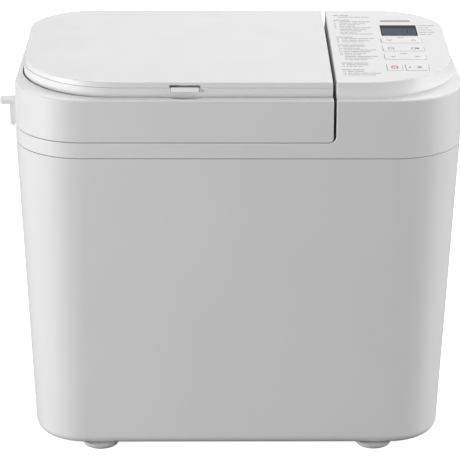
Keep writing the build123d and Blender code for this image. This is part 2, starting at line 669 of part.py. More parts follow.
def pan_ring():
    """Foot ring under the pan with three lugs that turn under the socket's claws."""
    low = OVEN_FLOOR + 2.05
    lug = OVEN_FLOOR + 7.6
    ring = post(OVEN_X, OVEN_Y, (low, PAN_BOTTOM - 0.02), 36.5) - post(OVEN_X, OVEN_Y, (low - 1, 99), 33.5)
    ring += post(OVEN_X, OVEN_Y, (PAN_BOTTOM - 1.6, PAN_BOTTOM - 0.02), 36.5) - post(
        OVEN_X, OVEN_Y, (PAN_BOTTOM - 3, 99), 9.2
    )
    for angle in LUG_ANGLES:
        ring += ring_sector((35, 41.5), (lug, lug + 2.6), angle, 12)
    return ring


def pan_bushing():
    """Bearing boss pressed into the pan's floor."""
    tube = post(OVEN_X, OVEN_Y, (PAN_BOTTOM - 6, PAN_BOTTOM + 12), 8.98)
    tube += post(OVEN_X, OVEN_Y, (PAN_BOTTOM + PAN_WALL + 0.02, PAN_BOTTOM + PAN_WALL + 2.2), 13)
    return tube - post(OVEN_X, OVEN_Y, (60, 120), 4.05)


def pan_handle():
    """Wire bail; it rests folded back over the rim."""
    reach = PAN_W / 2 - 4.6
    out = PAN_W / 2 + 4.0
    points = [
        (OVEN_X - out, OVEN_Y, BAIL_Z),
        (OVEN_X - reach, OVEN_Y, BAIL_Z),
        (OVEN_X - reach, OVEN_Y + BAIL_ARM, BAIL_Z),
        (OVEN_X + reach, OVEN_Y + BAIL_ARM, BAIL_Z),
        (OVEN_X + reach, OVEN_Y, BAIL_Z),
        (OVEN_X + out, OVEN_Y, BAIL_Z),
    ]
    path = FilletPolyline(*points, radius=[2.8, 12, 12, 2.8])
    section = Plane(origin=points[0], z_dir=(1, 0, 0)) * Circle(BAIL_WIRE)
    return sweep(section, path=path)


# ---------------------------------------------------------------- kneading drive
def pan_shaft():
    """Kneading shaft with a cross wing under the pan and a D flat for the blade."""
    shaft = post(OVEN_X, OVEN_Y, (PAN_DOG_Z[0], PAN_BOTTOM + 36), 4.0)
    shaft -= box((OVEN_X + 2.8, OVEN_X + 6), (OVEN_Y - 6, OVEN_Y + 6), (PAN_BOTTOM + 16, 200))
    wing = box((OVEN_X - 3, OVEN_X + 3), (OVEN_Y - 13, OVEN_Y + 13), PAN_DOG_Z)
    return shaft + fillet(wing.edges().filter_by(Axis.Z), 1.5)


def kneading_blade():
    """Cast paddle that drops over the shaft."""
    low = PAN_BOTTOM + 14.6
    hub = post(OVEN_X, OVEN_Y, (low, low + 24), 9.5)
    hub = fillet(hub.edges().filter_by_position(Axis.Z, low + 23.9, low + 24.1), 3)
    base = box((OVEN_X, OVEN_X + 46), (OVEN_Y - 3.5, OVEN_Y + 3.5), (low, low + 34))
    base = fillet(base.edges().filter_by(Axis.Y).group_by(Axis.X)[-1].sort_by(Axis.Z)[-1], 24)
    base = fillet(base.edges().filter_by(Axis.Z).group_by(Axis.X)[-1], 3)
    back = box((OVEN_X - 20, OVEN_X), (OVEN_Y - 3, OVEN_Y + 3), (low, low + 8))
    back = fillet(back.edges().filter_by(Axis.Z).group_by(Axis.X)[0], 2.9)
    bore = post(OVEN_X, OVEN_Y, (60, low + 22), 4.1)
    bore -= box((OVEN_X + 2.95, OVEN_X + 6), (OVEN_Y - 6, OVEN_Y + 6), (low + 1.5, 200))
    return hub + base + back - bore


def drive_coupler():
    """Two-pronged dog on the drive shaft inside the socket."""
    low, high = DRIVE_DOG_Z
    hub = post(OVEN_X, OVEN_Y, (low, low + 2.6), 15)
    for side in (-1, 1):
        prong = (OVEN_X + side * 8.5, OVEN_X + side * 13.5)
        hub += box(sorted(prong), (OVEN_Y - 4, OVEN_Y + 4), (low, high))
    return hub - post(OVEN_X, OVEN_Y, (60, 100), 5.0)


def drive_shaft():
    return post(OVEN_X, OVEN_Y, (26, DRIVE_DOG_Z[0] + 2.6), 4.98)


def shaft_bearing():
    """Flanged bearing housing bolted to the chassis under the oven."""
    tube = post(OVEN_X, OVEN_Y, (46.5, 77), 11)
    flange = post(OVEN_X, OVEN_Y, (CHASSIS_Z + 1.52, CHASSIS_Z + 4.5), 24)
    return tube + flange - post(OVEN_X, OVEN_Y, (40, 90), 5.04)


def grooved_wheel(x, y, r, bore):
    """A pulley whose flanges stand above and below the belt."""
    low, high = BELT_Z - 3, BELT_Z + BELT_W + 3
    wheel = post(x, y, (low, high), r)
    for z in ((low, low + 2), (high - 2, high)):
        wheel += post(x, y, z, r + BELT_T + 1.2)
    return wheel - post(x, y, (0, 90), bore)


def drive_pulley():
    """Large pulley, lightened by six holes."""
    wheel = grooved_wheel(OVEN_X, OVEN_Y, PULLEY_R, 4.98)
    dish = post(OVEN_X, OVEN_Y, (BELT_Z + 4, 60), PULLEY_R - 6) - post(OVEN_X, OVEN_Y, (0, 60), 14)
    wheel -= dish
    for i in range(6):
        a = radians(60 * i)
        wheel -= post(OVEN_X + 38 * cos(a), OVEN_Y + 38 * sin(a), (20, 50), 12)
    return wheel


def belt_loop(grow):
    """Plan of the belt's inner or outer line round both pulleys."""
    big = Pos(OVEN_X, OVEN_Y) * Circle(PULLEY_R + grow)
    small = Pos(MOTOR_X, MOTOR_Y) * Circle(PINION_R + grow)
    return make_hull((big + small).edges())


def drive_belt():
    clear = 0.35
    z = (BELT_Z, BELT_Z + BELT_W)
    return prism(belt_loop(clear + BELT_T), z) - prism(belt_loop(clear), z)


# ---------------------------------------------------------------- motor
def motor_body():
    """Induction motor: stack between two end bells with a mounting flange."""
    low, high = MOTOR_Z
    can = post(MOTOR_X, MOTOR_Y, (low + 16, high - 16), MOTOR_R)
    bells = post(MOTOR_X, MOTOR_Y, (low + 4, high), MOTOR_R - 6)
    bells = fillet(bells.edges().filter_by_position(Axis.Z, high - 0.1, high + 0.1), 8)
    flange = prism(rounded((MOTOR_X - 42, MOTOR_X + 42), (MOTOR_Y - 42, MOTOR_Y + 42), 10), (low, low + 4))
    for x, y in MOTOR_FEET:
        flange -= post(x, y, (60, 80), 4.1)
    return can + bells + flange - post(MOTOR_X, MOTOR_Y, (50, 170), 4.03)


def motor_grommets():
    """Four rubber mounts between the motor and the chassis."""
    mounts = []
    for x, y in MOTOR_FEET:
        pad = post(x, y, (CHASSIS_Z + 1.52, MOTOR_Z[0] - 0.02), 7)
        mounts.append(pad + post(x, y, (MOTOR_Z[0] - 1, MOTOR_Z[0] + 4), 4.05))
    return Compound(mounts)


def motor_shaft():
    return post(MOTOR_X, MOTOR_Y, (26, MOTOR_Z[1] + 12), 3.98)


def motor_pulley():
    return grooved_wheel(MOTOR_X, MOTOR_Y, PINION_R, 3.98)


def motor_fan():
    """Eight straight blades on a hub, over the motor."""
    z = (MOTOR_Z[1] + 2, MOTOR_Z[1] + 11)
    fan = post(MOTOR_X, MOTOR_Y, z, 9)
    fan += post(MOTOR_X, MOTOR_Y, (z[0], z[0] + 1.2), 33)
    for i in range(8):
        blade = box((0, 33), (-0.7, 0.7), z)
        fan += Pos(MOTOR_X, MOTOR_Y, 0) * Rot(0, 0, 45 * i) * blade
    return fan - post(MOTOR_X, MOTOR_Y, (100, 200), 3.98)


def motor_capacitor():
    case = box((96, 132), (62, 84), (CHASSIS_Z + 1.52, 84))
    return fillet(case.edges().filter_by(Axis.Z), 3)


# ---------------------------------------------------------------- chassis and power electronics
def chassis_frame():
    """Pressed steel tray on six legs that carries the motor, the bearing and the oven."""
    plate = prism(rounded((-168, 178), (-88, 88), 20), (CHASSIS_Z, CHASSIS_Z + 1.5))
    base = FOOT_H + WALL + 0.02
    for x in (-155, 106 + 12, 165):
        for y in (-76, 76):
            plate += post(x, y, (base, CHASSIS_Z + 1), 5)
    for dx in (-85, 85):
        for dy in (-70, 70):
            plate += post(OVEN_X + dx, OVEN_Y + dy, (CHASSIS_Z, OVEN_FLOOR - 1.02), 4)
    plate -= post(OVEN_X, OVEN_Y, (50, 60), 11.05)
    plate -= post(MOTOR_X, MOTOR_Y, (50, 60), 16)
    return plate


def heat_shield():
    """Steel partition between the oven and the electronics, with four board pillars."""
    plate = box((SHIELD_X, SHIELD_X + 1), (-84, 84), (CHASSIS_Z + 1.52, 296))
    plate += box((SHIELD_X, SHIELD_X + 14), (-84, 84), (CHASSIS_Z + 1.52, CHASSIS_Z + 2.5))
    for y in (-56, 56):
        for z in (172, 268):
            plate += bar_x((SHIELD_X + 0.5, SHIELD_X + 9), y, z, 3)
    return plate


def power_board():
    board = box((BOARD_X, BOARD_X + 1.6), (-64, 64), (164, 276))
    return board - bar_x((70, 80), 0, 220, 4)


def power_relays():
    """Two relays, for the heater and the motor."""
    z = (236, 256)
    return Compound([box((BOARD_X + 1.62, BOARD_X + 17), (y, y + 24), z) for y in (-52, -20)])


def transformer():
    core = box((BOARD_X + 1.62, BOARD_X + 26), (18, 54), (184, 220))
    coil = box((BOARD_X + 4, BOARD_X + 30), (24, 48), (190, 214))
    return core + fillet(coil.edges().filter_by(Axis.X), 4)


# ---------------------------------------------------------------- build
nodes["lower_housing"] = lower_housing()
nodes["base_plate"] = base_plate()
nodes["base_screws"] = base_screws()
FEET = {"front_left": (-1, -1), "front_right": (1, -1), "rear_left": (-1, 1), "rear_right": (1, 1)}
for name, (sx, sy) in FEET.items():
    nodes["foot_" + name] = foot(sx * 128.5, sy * 97.0)
for maker in (
    cord_gland,
    upper_housing,
    hinge_pins,
    display_lens,
    lcd_module,
    control_board,
    key_switches,
    key_fulcrums,
    lid_shell,
    lid_liner,
    lid_gasket,
    lid_grip,
    dispenser_box,
    dispenser_flap,
    flap_magnet,
    liner_screws,
    cover_panel,
    cover_frame,
    cover_hinge_pins,
    cover_latch,
    oven_chamber,
    heater_element,
    heater_brackets,
    temp_sensor,
    pan_socket,
    pan_ring,
    pan_bushing,
    pan_handle,
    pan_shaft,
    kneading_blade,
    drive_coupler,
    drive_shaft,
    shaft_bearing,
    drive_pulley,
    drive_belt,
    motor_body,
    motor_grommets,
    motor_shaft,
    motor_pulley,
    motor_fan,
    motor_capacitor,
    chassis_frame,
    heat_shield,
    power_board,
    power_relays,
    transformer,
):
    nodes[maker.__name__] = maker()
nodes["bread_pan"] = pan_body()
for name, y in ROCKER_Y.items():
    nodes[name] = rocker(y)
for name, x in PUSH_X.items():
    nodes[name] = push_key(x)

os.makedirs("parts", exist_ok=True)
for name, shape in nodes.items():
    export_step(shape, f"parts/{name}.step")
print(len(nodes), "nodes")
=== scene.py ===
from math import cos, pi, radians, sin

import bmesh
import bpy
from mathutils import Matrix, Vector


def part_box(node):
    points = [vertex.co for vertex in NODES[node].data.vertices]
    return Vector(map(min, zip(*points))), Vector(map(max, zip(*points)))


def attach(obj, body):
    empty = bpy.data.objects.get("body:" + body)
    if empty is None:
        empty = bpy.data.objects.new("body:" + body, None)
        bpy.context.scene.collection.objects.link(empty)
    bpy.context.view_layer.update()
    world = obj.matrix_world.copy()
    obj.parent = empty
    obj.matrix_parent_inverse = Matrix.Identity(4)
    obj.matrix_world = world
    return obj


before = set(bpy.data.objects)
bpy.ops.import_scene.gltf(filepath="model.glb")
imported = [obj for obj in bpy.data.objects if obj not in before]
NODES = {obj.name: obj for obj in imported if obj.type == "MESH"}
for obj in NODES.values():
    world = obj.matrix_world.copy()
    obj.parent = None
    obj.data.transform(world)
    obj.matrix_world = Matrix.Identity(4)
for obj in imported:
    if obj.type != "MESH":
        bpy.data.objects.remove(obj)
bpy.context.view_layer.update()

MM = 0.001

# ---------------------------------------------------------------- shader helpers


def new_material(name, **sockets):
    """A node material with a Principled shader; keyword names are its sockets, with _ for a space."""
    mat = bpy.data.materials.new(name)
    mat.use_nodes = True
    shader = mat.node_tree.nodes["Principled BSDF"]
    for key, value in sockets.items():
        shader.inputs[key.replace("_", " ")].default_value = value
    return mat, shader


def add(mat, kind, **settings):
    """A shader node of this kind; a setting is a property, or in capitals a socket."""
    node = mat.node_tree.nodes.new("ShaderNode" + kind)
    for key, value in settings.items():
        if key[0].isupper():
            node.inputs[key.replace("_", " ")].default_value = value
        else:
            setattr(node, key, value)
    return node


def join(mat, source, target):
    mat.node_tree.links.new(source, target)


def place(mat, stretch=(1, 1, 1)):
    """Object coordinates, in metres, stretched."""
    coords = add(mat, "TexCoord")
    mapping = add(mat, "Mapping", Scale=stretch)
    join(mat, coords.outputs["Object"], mapping.inputs["Vector"])
    return mapping.outputs["Vector"]


def noise(mat, vector, scale, detail=3.0, rough=0.5):
    node = add(mat, "TexNoise", Scale=scale, Detail=detail, Roughness=rough)
    join(mat, vector, node.inputs["Vector"])
    return node.outputs["Fac"]


def ramp(mat, fac, stops):
    """A colour ramp through (place, colour) stops."""
    node = add(mat, "ValToRGB")
    elements = node.color_ramp.elements
    while len(elements) < len(stops):
        elements.new(0.5)
    for element, (where, colour) in zip(elements, stops):
        element.position = where
        element.color = (*colour, 1)
    join(mat, fac, node.inputs["Fac"])
    return node.outputs["Color"]


def spread(mat, fac, low, high):
    """Maps 0.3 to 0.7, where noise mostly lies, onto low to high."""
    node = add(mat, "MapRange")
    for name, value in (("From Min", 0.3), ("From Max", 0.7), ("To Min", low), ("To Max", high)):
        node.inputs[name].default_value = value
    join(mat, fac, node.inputs["Value"])
    return node.outputs["Result"]


def bump(mat, shader, height, strength, distance):
    node = add(mat, "Bump", Strength=strength, Distance=distance)
    join(mat, height, node.inputs["Height"])
    join(mat, node.outputs["Normal"], shader.inputs["Normal"])


def grey(value):
    return (value, value, value)


def scaled(colour, factor):
    return tuple(c * factor for c in colour)


def bricks(mat, vector, first, second, joints, **sockets):
    """A brick pattern in two colours, with a third for its joints."""
    node = add(mat, "TexBrick", **sockets)
    for name, colour in (("Color1", first), ("Color2", second), ("Mortar", joints)):
        node.inputs[name].default_value = (*colour, 1)
    join(mat, vector, node.inputs["Vector"])
    return node.outputs["Color"]


# ---------------------------------------------------------------- materials


def moulded_plastic(name, colour, rough=0.42, grain=1400, depth=0.00004, vary=0.02):
    """Spark-textured moulding: fine grain, slight clouding of colour and gloss."""
    mat, shader = new_material(name, Specular_IOR_Level=0.4)
    where = place(mat)
    cloud = noise(mat, where, 9, 4)
    tone = ramp(mat, cloud, ((0.35, scaled(colour, 1 - vary)), (0.65, colour)))
    join(mat, tone, shader.inputs["Base Color"])
    fine = noise(mat, where, grain, 2)
    join(mat, spread(mat, noise(mat, where, 60, 3), rough - 0.04, rough + 0.04), shader.inputs["Roughness"])
    bump(mat, shader, fine, 0.35, depth)
    return mat


def rubber(name, colour, rough=0.7):
    mat, shader = new_material(name, Specular_IOR_Level=0.3)
    where = place(mat)
    tone = ramp(mat, noise(mat, where, 120, 4), ((0.3, scaled(colour, 0.85)), (0.7, colour)))
    join(mat, tone, shader.inputs["Base Color"])
    join(mat, spread(mat, noise(mat, where, 300, 2), rough - 0.08, rough + 0.08), shader.inputs["Roughness"])
    bump(mat, shader, noise(mat, where, 1800, 2), 0.4, 0.00008)
    return mat


def brushed_metal(name, colour, rough=0.32, stretch=(1, 40, 40), lines=60):
    """Metal with fine lines along X, or along the axis that stretch leaves at 1."""
    mat, shader = new_material(name, Metallic=1.0)
    streak = noise(mat, place(mat, stretch), lines, 3)
    tone = ramp(mat, streak, ((0.3, scaled(colour, 0.8)), (0.7, colour)))
    join(mat, tone, shader.inputs["Base Color"])
    join(mat, spread(mat, streak, rough - 0.08, rough + 0.08), shader.inputs["Roughness"])
    bump(mat, shader, streak, 0.15, 0.00004)
    return mat


def spangled_sheet(name, colour):
    """Galvanised or coated sheet with its crystal pattern."""
    mat, shader = new_material(name, Metallic=0.9)
    where = place(mat)
    cells = add(mat, "TexVoronoi", Scale=160)
    join(mat, where, cells.inputs["Vector"])
    tone = ramp(mat, cells.outputs["Color"], ((0.2, scaled(colour, 0.78)), (0.8, colour)))
    join(mat, tone, shader.inputs["Base Color"])
    join(mat, spread(mat, noise(mat, where, 200, 3), 0.34, 0.5), shader.inputs["Roughness"])
    bump(mat, shader, noise(mat, where, 400, 3), 0.12, 0.00005)
    return mat


def nonstick(name, colour):
    """Baked coating with a fleck and a light orange peel."""
    mat, shader = new_material(name, Metallic=0.35, Specular_IOR_Level=0.5)
    where = place(mat)
    fleck = noise(mat, where, 1500, 2, 0.7)
    tone = ramp(mat, fleck, ((0.62, colour), (0.75, scaled(colour, 2.6))))
    join(mat, tone, shader.inputs["Base Color"])
    join(mat, spread(mat, noise(mat, where, 90, 3), 0.32, 0.46), shader.inputs["Roughness"])
    bump(mat, shader, noise(mat, where, 450, 3), 0.25, 0.0001)
    return mat


def heated_metal(name):
    """Oxidised heater sheath, browner where it has run hottest."""
    mat, shader = new_material(name, Metallic=0.7)
    where = place(mat)
    cool, scorched = (0.05, 0.048, 0.045), (0.11, 0.09, 0.075)
    tone = ramp(mat, noise(mat, where, 30, 4), ((0.35, cool), (0.6, scorched)))
    join(mat, tone, shader.inputs["Base Color"])
    join(mat, spread(mat, noise(mat, where, 250, 3), 0.45, 0.62), shader.inputs["Roughness"])
    bump(mat, shader, noise(mat, where, 900, 3), 0.3, 0.0001)
    return mat


def circuit_laminate(name):
    """Lacquered board with a faint pattern of tracks under it."""
    mat, shader = new_material(name, Coat_Weight=0.4, Coat_Roughness=0.15)
    where = place(mat)
    tracks = bricks(mat, where, (0.012, 0.09, 0.03), (0.015, 0.11, 0.04), (0.03, 0.2, 0.07), Scale=90)
    join(mat, tracks, shader.inputs["Base Color"])
    join(mat, spread(mat, noise(mat, where, 200, 2), 0.3, 0.42), shader.inputs["Roughness"])
    return mat


def display_glass(name):
    """Dark display behind a clear window: blue grey, with a faint cell grid."""
    mat, shader = new_material(name, Specular_IOR_Level=0.05)
    where = place(mat)
    cells = (0.072, 0.092, 0.108), (0.077, 0.097, 0.113), (0.064, 0.083, 0.098)
    grid = bricks(mat, where, *cells, Scale=1400, Mortar_Size=0.03)
    join(mat, grid, shader.inputs["Base Color"])
    join(mat, spread(mat, noise(mat, where, 40, 2), 0.36, 0.44), shader.inputs["Roughness"])
    return mat


def ink(name, colour, rough=0.6, gloss=0.3):
    """Pad-printed ink, slightly uneven."""
    mat, shader = new_material(name, Specular_IOR_Level=gloss)
    where = place(mat)
    tone = ramp(mat, noise(mat, where, 900, 2), ((0.35, colour), (0.7, scaled(colour, 1.3))))
    join(mat, tone, shader.inputs["Base Color"])
    join(mat, spread(mat, noise(mat, where, 500, 2), rough - 0.05, rough + 0.05), shader.inputs["Roughness"])
    return mat


def laminations(name):
    """Stacked motor iron under varnish: level lines, with darker joints."""
    mat, shader = new_material(name, Metallic=0.6)
    where = place(mat, (1, 1, 40))
    line = noise(mat, where, 45, 2)
    join(mat, ramp(mat, line, ((0.4, grey(0.05)), (0.6, grey(0.16)))), shader.inputs["Base Color"])
    join(mat, spread(mat, line, 0.42, 0.55), shader.inputs["Roughness"])
    bump(mat, shader, line, 0.3, 0.0002)
    return mat


SHELL = grey(0.80)
KEY_WHITE = grey(0.835)
# Painted light: the latch is the shell's white plastic, drawn lighter than the shell to paint in the light
# its tab catches.
LATCH_WHITE_PAINTED_LIGHT = grey(0.92)

shell_plastic = moulded_plastic("shell_plastic", SHELL)
cover_plastic = moulded_plastic("cover_plastic", SHELL, rough=0.38, depth=0.00003)
key_plastic = moulded_plastic("key_plastic", KEY_WHITE, rough=0.35, grain=2200, depth=0.00002, vary=0.01)
# The latch's moulding, its colour raised above the shell's as a painted highlight on the tab.
latch_plastic_painted_light = moulded_plastic(
    "latch_plastic_painted_light", LATCH_WHITE_PAINTED_LIGHT, rough=0.36, grain=2000, depth=0.00002, vary=0.01
)
inner_plastic = moulded_plastic("inner_plastic", (0.66, 0.66, 0.64), rough=0.5)
black_plastic = moulded_plastic("black_plastic", (0.022, 0.022, 0.024), rough=0.45)
foot_rubber = rubber("foot_rubber", (0.62, 0.62, 0.61))
silicone = rubber("silicone_rubber", (0.36, 0.36, 0.35), rough=0.55)
dark_rubber = rubber("dark_rubber", (0.03, 0.03, 0.03))
pin_steel = brushed_metal("pin_steel", (0.58, 0.58, 0.59), rough=0.25)
screw_steel = brushed_metal("screw_steel", (0.5, 0.5, 0.51), rough=0.35, stretch=(30, 30, 30))
liner_steel = brushed_metal("liner_steel", (0.55, 0.55, 0.55), rough=0.36, stretch=(1, 60, 60))
flap_steel = brushed_metal("flap_steel", (0.52, 0.52, 0.53), rough=0.34, stretch=(1, 60, 60))
oven_steel = spangled_sheet("oven_steel", (0.50, 0.50, 0.50))
chassis_steel = spangled_sheet("chassis_steel", (0.42, 0.43, 0.43))
coating = nonstick("nonstick_coating", (0.035, 0.034, 0.036))
cast_alloy = spangled_sheet("cast_alloy", (0.46, 0.46, 0.47))
brass = brushed_metal("bush_brass", (0.66, 0.46, 0.18), rough=0.3, stretch=(1, 1, 40))
sheath = heated_metal("heater_sheath")
board = circuit_laminate("circuit_board")
motor_iron = laminations("motor_iron")
can_plastic = moulded_plastic("capacitor_can", (0.62, 0.60, 0.50), rough=0.3)
window = display_glass("display_window")
ink_grey = ink("ink_grey", grey(0.12))
ink_pale = ink("ink_pale", grey(0.24))
ink_red = ink("ink_red", (0.55, 0.02, 0.05))
ink_dark = ink("display_dark", (0.022, 0.027, 0.034), gloss=0.02)
ink_strip = ink("display_strip_grey", (0.045, 0.05, 0.057), gloss=0.02)

FINISH = {
    shell_plastic: ("lower_housing", "upper_housing", "lid_shell", "lid_grip"),
    cover_plastic: ("cover_panel", "cover_frame"),
    key_plastic: ("select_key", "options_key", "timer_key", "stop_key", "start_key"),
    latch_plastic_painted_light: ("cover_latch",),
    inner_plastic: ("dispenser_box", "base_plate", "drive_pulley", "key_fulcrums"),
    black_plastic: ("cord_gland", "key_switches", "power_relays", "motor_fan", "motor_pulley", "lcd_module"),
    foot_rubber: ("foot_front_left", "foot_front_right", "foot_rear_left", "foot_rear_right"),
    silicone: ("lid_gasket",),
    dark_rubber: ("motor_grommets", "drive_belt"),
    pin_steel: ("hinge_pins", "cover_hinge_pins", "drive_shaft", "motor_shaft", "pan_handle", "pan_shaft"),
    screw_steel: ("base_screws", "liner_screws", "temp_sensor"),
    liner_steel: ("lid_liner",),
    flap_steel: ("dispenser_flap", "flap_magnet"),
    oven_steel: ("oven_chamber", "heat_shield", "pan_socket", "heater_brackets"),
    chassis_steel: ("chassis_frame",),
    coating: ("bread_pan", "kneading_blade"),
    cast_alloy: ("pan_ring", "drive_coupler", "shaft_bearing"),
    brass: ("pan_bushing",),
    sheath: ("heater_element",),
    board: ("control_board", "power_board"),
    motor_iron: ("motor_body", "transformer"),
    can_plastic: ("motor_capacitor",),
    window: ("display_lens",),
}
for mat, names in FINISH.items():
    for name in names:
        slots = NODES[name].material_slots
        for one in slots:
            one.material = mat
        if not len(slots):
            NODES[name].data.materials.append(mat)
assert {n for names in FINISH.values() for n in names} == set(NODES)

# ---------------------------------------------------------------- flat printed shapes
PRINT = 0.06 * MM  # how far ink stands above what it is printed on
FIGURE_SHARE = 0.7  # a figure's height as a share of the font's size


def show(name, mesh, mat):
    """A new object of this mesh and material."""
    mesh.materials.append(mat)
    piece = bpy.data.objects.new(name, mesh)
    bpy.context.scene.collection.objects.link(piece)
    return piece


def printed(name, mesh, mat, body):
    """A printed mark that rides on a body."""
    piece = show(name, mesh, mat)
    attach(piece, body)


def plate(name, outlines, z, mat, body, thick=PRINT):
    """Closed outlines of (x, y) points in metres, as one thin flat piece standing on height z."""
    bm = bmesh.new()
    for outline in outlines:
        low = [bm.verts.new((x, y, z)) for x, y in outline]
        high = [bm.verts.new((x, y, z + thick)) for x, y in outline]
        bm.faces.new(high)
        bm.faces.new(low[::-1])
        for i in range(len(outline)):
            j = (i + 1) % len(outline)
            bm.faces.new((low[i], low[j], high[j], high[i]))
    bmesh.ops.recalc_face_normals(bm, faces=bm.faces)
    mesh = bpy.data.meshes.new(name)
    bm.to_mesh(mesh)
    bm.free()
    printed(name, mesh, mat, body)


def oblong(x, y, w, d):
    """Outline of a rectangle centred on x, y."""
    return [(x - w / 2, y - d / 2), (x + w / 2, y - d / 2), (x + w / 2, y + d / 2), (x - w / 2, y + d / 2)]


def stroke(points, width):
    """Outlines of a line of this width through the points, one four-sided piece per run, mitred."""
    pts = [Vector(p) for p in points]
    sides = []
    for i, p in enumerate(pts):
        before = (p - pts[i - 1]).normalized() if i else None
        after = (pts[i + 1] - p).normalized() if i + 1 < len(pts) else None
        along = (before or after) + (after or before)
        across = Vector((-along.y, along.x)).normalized()
        normal = Vector((-(after or before).y, (after or before).x))
        reach = width / 2 / max(0.3, across.dot(normal))
        sides.append((p + across * reach, p - across * reach))
    return [
        [tuple(a[0]), tuple(b[0]), tuple(b[1]), tuple(a[1])][::-1]
        for a, b in zip(sides, sides[1:])
    ]


def ring(x, y, w, d, width, steps=40):
    """Outlines of an oval ring, as short four-sided pieces."""
    def at(i, grow):
        a = 2 * pi * i / steps
        return (x + (w / 2 + grow) * cos(a), y + (d / 2 + grow) * sin(a))
    return [[at(i, 0), at(i + 1, 0), at(i + 1, -width), at(i, -width)] for i in range(steps)]


def disc(x, y, r, steps=28):
    """Outline of a disc."""
    return [(x + r * cos(2 * pi * i / steps), y + r * sin(2 * pi * i / steps)) for i in range(steps)]


def numeral(name, text, x, y, z, height, mat, body, slot):
    """A printed number whose left end stands at x, y."""
    curve = bpy.data.curves.new(name, "FONT")
    curve.body = text
    curve.size = height / FIGURE_SHARE
    curve.extrude = PRINT / 2
    curve.resolution_u = 3
    maker = bpy.data.objects.new(name + "_curve", curve)
    bpy.context.scene.collection.objects.link(maker)
    bpy.context.view_layer.update()
    mesh = bpy.data.meshes.new_from_object(maker.evaluated_get(bpy.context.evaluated_depsgraph_get()))
    bpy.data.objects.remove(maker)
    mesh.transform(Matrix.Translation((x, y, z + PRINT / 2)))
    mesh.materials.clear()
    printed(name, mesh, mat, body)


# ---------------------------------------------------------------- console: what is printed
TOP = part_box("upper_housing")[1].z
LIST_X = 93.5 * MM
LIST_Y = (99 * MM, -91 * MM)  # first and last row
LIST_INDENT = 4.8 * MM  # of the rows under a heading
# Each block: rows, then how many of them are numbered.
BLOCKS = ((2, 0), (10, 5), (4, 3), (10, 6), (3, 2), (4, 3))
WORD_GAP = 0.9 * MM
HEADING_H = 1.7 * MM
WORD_H = 1.35 * MM
NUMBER_H = 2.4 * MM


def words_in_row(x, y, length, count, seed, height):
    """Dashes of uneven length, one for each word, that fill a row from x."""
    shares = [2 + (3 * seed + 5 * i) % 4 for i in range(count)]
    unit = (length - WORD_GAP * (count - 1)) / sum(shares)
    dashes = []
    for share in shares:
        dashes.append(oblong(x + share * unit / 2, y, share * unit, height))
        x += share * unit + WORD_GAP
    return dashes


def programme_list():
    """Rows of dashes, from the console's back to its front, with numbers before some of them."""
    rows = sum(count for count, _ in BLOCKS) + len(BLOCKS) - 1
    pitch = (LIST_Y[0] - LIST_Y[1]) / (rows - 1)
    dashes, row, number = [], 0, 0
    for block, (count, numbered) in enumerate(BLOCKS):
        for i in range(count):
            y = LIST_Y[0] - pitch * row
            length = (15 + 5 * ((7 * row + 3 * block) % 4)) * MM
            if i == 0:
                dashes += words_in_row(LIST_X, y, length, 2, row, HEADING_H)
            else:
                words = 2 + (5 * row + block) % 3
                dashes += words_in_row(LIST_X + LIST_INDENT, y, length, words, row, WORD_H)
            if 0 < i <= numbered:
                number += 1
                at = (LIST_X, y - NUMBER_H / 2, TOP)
                label = f"list_number_{number}"
                numeral(label, str(number), *at, NUMBER_H, ink_grey, "base", "white_shell")
            row += 1
        row += 1
    plate("list_rows", dashes, TOP, ink_pale, "base")


programme_list()

LENS_EDGE = 2.2 * MM  # left clear round what the display shows
lens_low, lens_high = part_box("display_lens")
LENS_X = (lens_low.x + LENS_EDGE, lens_high.x - LENS_EDGE)
LENS_Y = (lens_low.y + LENS_EDGE, lens_high.y - LENS_EDGE)
LENS_W = LENS_X[1] - LENS_X[0]
LENS_D = LENS_Y[1] - LENS_Y[0]
STRIP_SHARE = 0.28  # of the display's depth
FRAME_FRONT = 1.0 * MM
FRAME_SIDE = 0.8 * MM
SEGMENT = (0.4 * MM, 5.0 * MM)  # width and length of an upright segment of a figure
BAR = (3.0 * MM, 0.8 * MM)  # the level segments


def display_face():
    """What the display shows: a darker strip and frame, two figures, and marks along the front."""
    top = lens_high.z
    mid_x = (LENS_X[0] + LENS_X[1]) / 2
    mid_y = (LENS_Y[0] + LENS_Y[1]) / 2
    strip = oblong(mid_x, LENS_Y[1] - STRIP_SHARE * LENS_D / 2, LENS_W, STRIP_SHARE * LENS_D)
    frame_lines = [
        oblong(mid_x, LENS_Y[0] + FRAME_FRONT / 2, LENS_W, FRAME_FRONT),
        oblong(LENS_X[0] + FRAME_SIDE / 2, mid_y, FRAME_SIDE, LENS_D),
        oblong(LENS_X[1] - FRAME_SIDE / 2, mid_y, FRAME_SIDE, LENS_D),
    ]
    plate("display_strip", [strip], top, ink_strip, "base")
    plate("display_frame", frame_lines, top, ink_dark, "base", 1.5 * PRINT)
    row_y = LENS_Y[0] + 3.0 * MM
    marks = [oblong(LENS_X[0] + f * LENS_W, row_y, 2.2 * MM, 1.3 * MM) for f in (0.34, 0.62, 0.7)]
    figure_y = LENS_Y[0] + 0.42 * LENS_D
    for f in (0.66, 0.8):
        x = LENS_X[0] + f * LENS_W
        for dx in (-2.0 * MM, 2.0 * MM):
            for dy in (3 * MM, -3 * MM):
                marks.append(oblong(x + dx, figure_y + dy, *SEGMENT))
        for dy in (-6 * MM, 6 * MM):
            marks.append(oblong(x, figure_y + dy, *BAR))
    plate("display_marks", marks, top, ink_dark, "base", 0.5 * PRINT)


display_face()

MARK_REACH = 11.2 * MM  # from the middle of a rocker to the symbol at each end


def key_face(name):
    """Middle of a key's top face, in X and Y, and its height."""
    low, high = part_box(name)
    return (low.x + high.x) / 2, (low.y + high.y) / 2, high.z


